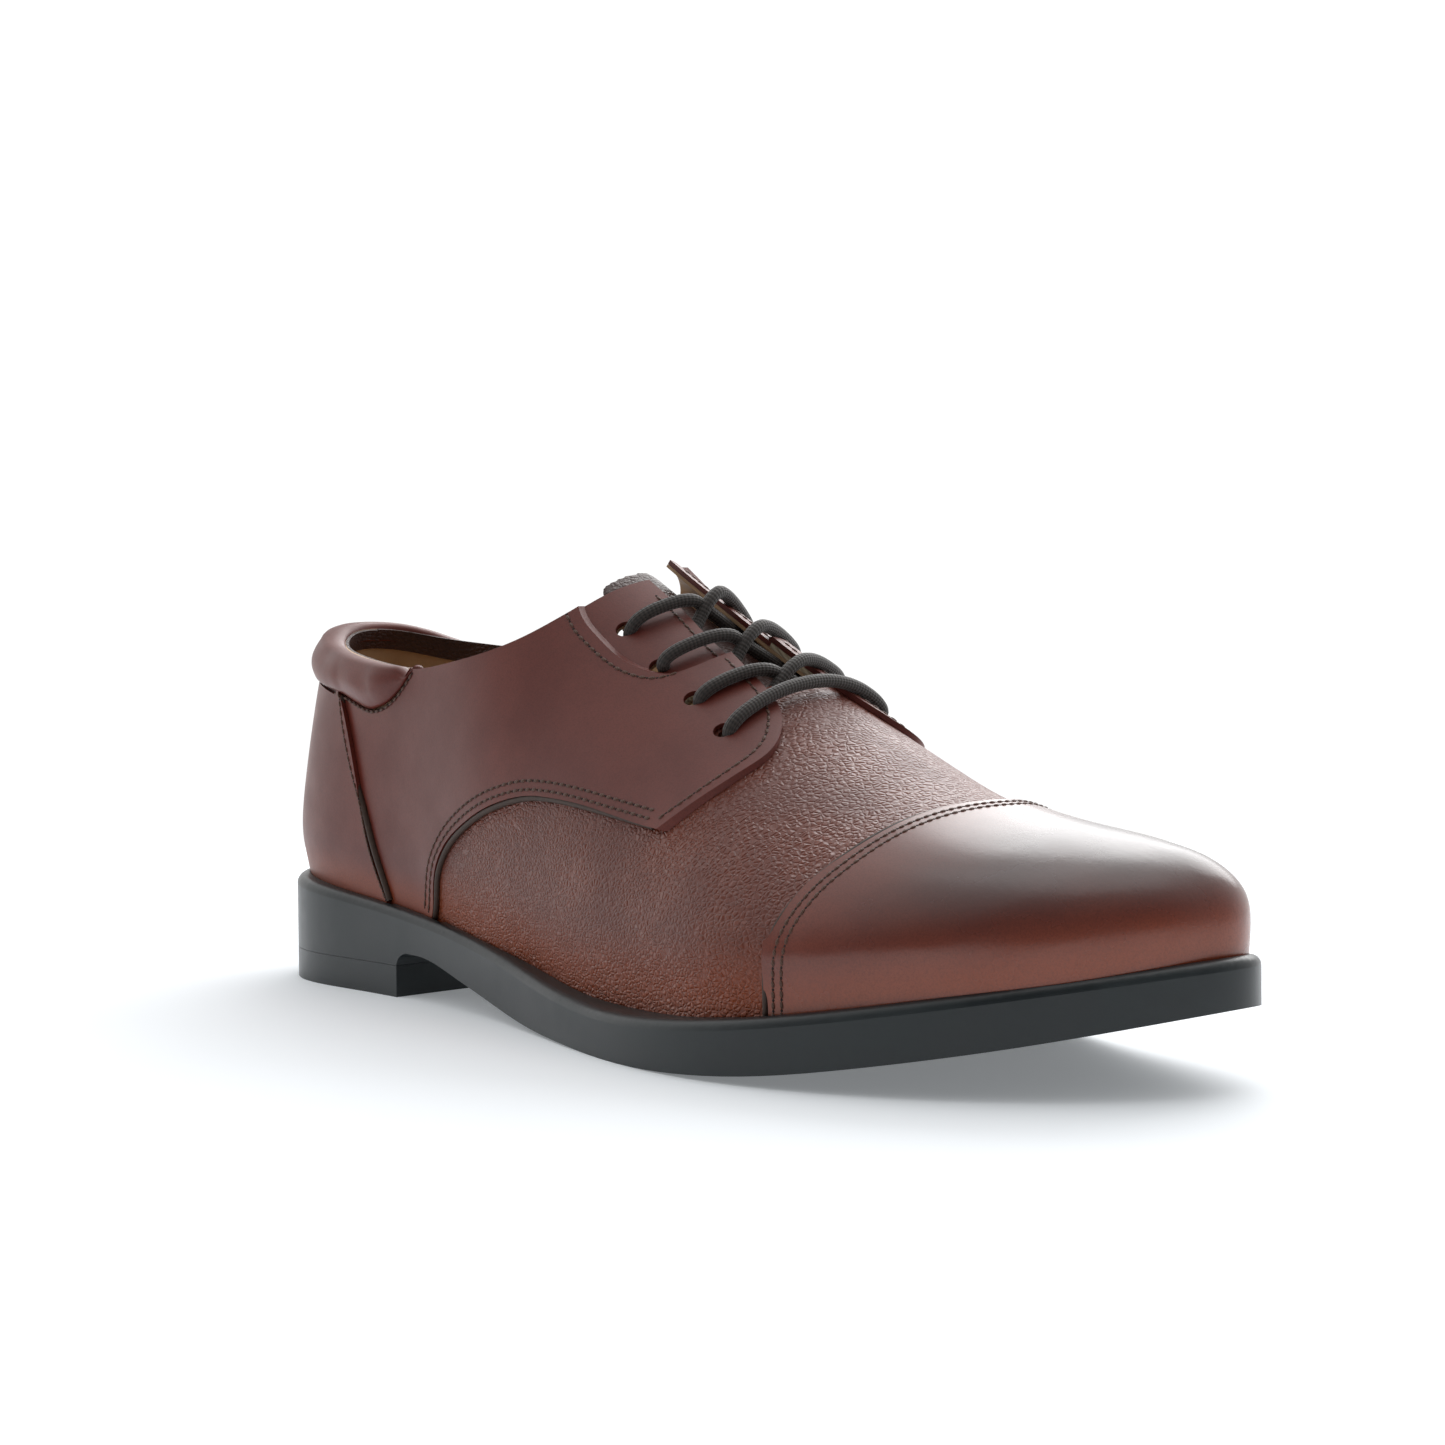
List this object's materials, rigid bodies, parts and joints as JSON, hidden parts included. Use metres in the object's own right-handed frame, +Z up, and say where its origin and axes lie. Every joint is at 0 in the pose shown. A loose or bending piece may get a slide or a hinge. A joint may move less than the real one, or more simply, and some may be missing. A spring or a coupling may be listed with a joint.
{
  "type": "derby shoe",
  "caption": "Low lace-up shoe with a stitched toe cap, open lacing tabs over the vamp, padded collar and one-piece rubber sole with block heel.",
  "frame": {"origin": "bottom centre of the bounding box, on the ground under the middle of the sole's length", "axes": "+X towards the toe, +Y towards the inner (medial) side, +Z up"},
  "size_m": [0.3038, 0.1083, 0.1103],
  "materials": {
    "calf_smooth": "smooth semi-gloss aniline calf, reddish brown",
    "calf_collar": "smooth thin calf over padding",
    "calf_grained": "pebbled grain calf, satin",
    "calf_burnished": "polished calf burnished darker to the tip",
    "calf_dark": "thin dark brown calf",
    "lining_leather": "matt tan lining leather",
    "lining_textile": "woven cotton drill",
    "backing_textile": "woven reinforcement tape",
    "stiffener_board": "moulded fibre sheet",
    "soft_foam": "open-cell foam",
    "insole_fibreboard": "pressed cellulose board",
    "cork_filler": "cork compound",
    "sole_rubber": "satin black rubber",
    "shank_steel": "plain tempered strip",
    "lace_cord": "waxed round braid, dark brown",
    "aglet_film": "dark wrapped film"
  },
  "bodies": {
    "shoe": {"heel_lining": "lining_leather", "quarter_lining_lateral": "lining_leather", "quarter_lining_medial": "lining_leather", "vamp_lining": "lining_textile", "toe_lining": "lining_leather", "heel_stiffener": "stiffener_board", "toe_puff": "stiffener_board", "vamp": "calf_grained", "toe_cap": "calf_burnished", "quarter_lateral": "calf_smooth", "quarter_medial": "calf_smooth", "eyestay_insert_lateral": "calf_grained", "eyestay_insert_medial": "calf_grained", "facing_strip_lateral": "backing_textile", "facing_strip_medial": "backing_textile", "quarter_backing_lateral": "backing_textile", "quarter_backing_medial": "backing_textile", "heel_counter_cover": "calf_smooth", "collar_cover": "calf_collar", "collar_foam": "soft_foam", "topline_binding_lateral": "calf_dark", "topline_binding_medial": "calf_dark", "outsole": "sole_rubber", "heel_top_piece": "sole_rubber", "insole_board": "insole_fibreboard", "sock_liner": "lining_leather", "heel_pad": "soft_foam", "shank": "shank_steel", "bottom_filler": "cork_filler", "lace": "lace_cord", "lace_end_lateral": "lace_cord", "lace_end_medial": "lace_cord", "aglet_lateral": "aglet_film", "aglet_medial": "aglet_film"},
    "tongue": {"tongue_leather": "calf_dark", "tongue_foam": "soft_foam", "tongue_lining": "lining_leather"}
  },
  "joints": [
    {"name": "tongue_hinge", "type": "hinge", "parent": "shoe", "child": "tongue", "pos_m": [0.042, 0.002, 0.06], "axis": [0, 1, 0], "range_deg": [-20, 0]}
  ]
}
